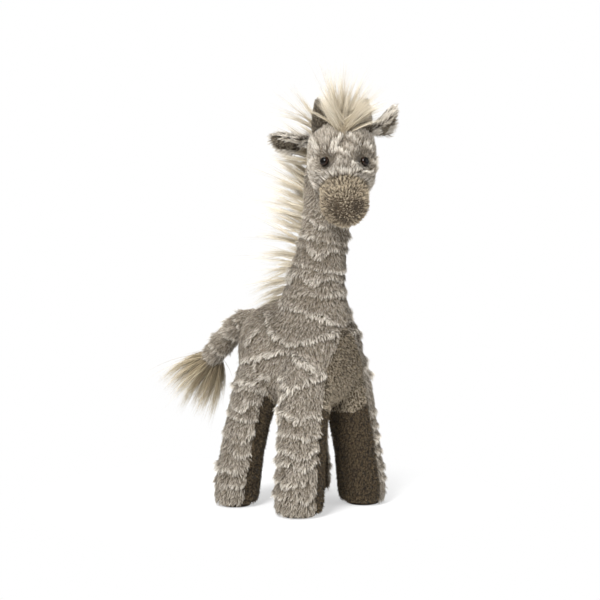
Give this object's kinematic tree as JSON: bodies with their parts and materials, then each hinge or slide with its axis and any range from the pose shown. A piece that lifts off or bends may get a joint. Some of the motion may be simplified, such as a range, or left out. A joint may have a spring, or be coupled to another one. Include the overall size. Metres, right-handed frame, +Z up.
{
  "type": "plush giraffe",
  "caption": "Standing stuffed giraffe toy in long and short pile fabric, with a turning head, flopping ears and a sprung tail.",
  "frame": {"origin": "middle of the base of the toy's box, on the plane that the four soles stand on", "axes": "+Z up, the giraffe's chest faces -Y, its left side is +X"},
  "size_m": [0.148, 0.3052, 0.4265],
  "materials": {
    "long_pile": "matte",
    "short_pile": "matte",
    "muzzle_pile": "matte",
    "horn_pile": "matte",
    "mane_hair": "matte",
    "tuft_hair": "matte",
    "fibre": "matte",
    "eye_plastic": "gloss",
    "washer_plastic": "matte"
  },
  "bodies": {
    "root": {"body_skin": "long_pile", "belly_gusset": "short_pile", "body_filling": "fibre", "leg_front_left_outer": "long_pile", "leg_front_left_inner": "short_pile", "leg_front_right_outer": "long_pile", "leg_front_right_inner": "short_pile", "leg_rear_left_outer": "long_pile", "leg_rear_left_inner": "short_pile", "leg_rear_right_outer": "long_pile", "leg_rear_right_inner": "short_pile", "sole_front_left": "short_pile", "sole_front_right": "short_pile", "sole_rear_left": "short_pile", "sole_rear_right": "short_pile", "neck_skin": "long_pile", "neck_mane": "mane_hair"},
    "head": {"head_skin": "long_pile", "head_filling": "fibre", "muzzle_skin": "muzzle_pile", "eye_left": "eye_plastic", "eye_right": "eye_plastic", "eye_washer_left": "washer_plastic", "eye_washer_right": "washer_plastic", "horn_left": "horn_pile", "horn_right": "horn_pile", "forelock": "mane_hair", "nape_mane": "mane_hair"},
    "ear_left": {"ear_left": "long_pile", "ear_left_lining": "short_pile"},
    "ear_right": {"ear_right": "long_pile", "ear_right_lining": "short_pile"},
    "tail": {"tail_skin": "long_pile", "tail_filling": "fibre", "tail_tuft": "tuft_hair"}
  },
  "joints": [
    {"name": "head_turn", "type": "hinge", "parent": "root", "child": "head", "pos_m": [0, -0.08578, 0.333], "axis": [0, 0, 1], "range_deg": [-25, 45], "stiffness_Nm_per_rad": 0.12},
    {"name": "ear_left_flop", "type": "hinge", "parent": "head", "child": "ear_left", "pos_m": [0.03033, -0.11512, 0.37266], "axis": [-0.6202, -0.5525, 0.5569], "range_deg": [-30, 30], "stiffness_Nm_per_rad": 0.012},
    {"name": "ear_right_flop", "type": "hinge", "parent": "head", "child": "ear_right", "pos_m": [-0.01462, -0.07519, 0.36542], "axis": [0.4716, 0.6845, -0.556], "range_deg": [-30, 30], "stiffness_Nm_per_rad": 0.012},
    {"name": "tail_lift", "type": "hinge", "parent": "root", "child": "tail", "pos_m": [-0.00062, 0.01805, 0.19126], "axis": [1, 0, 0], "range_deg": [-25, 50], "stiffness_Nm_per_rad": 0.25}
  ]
}
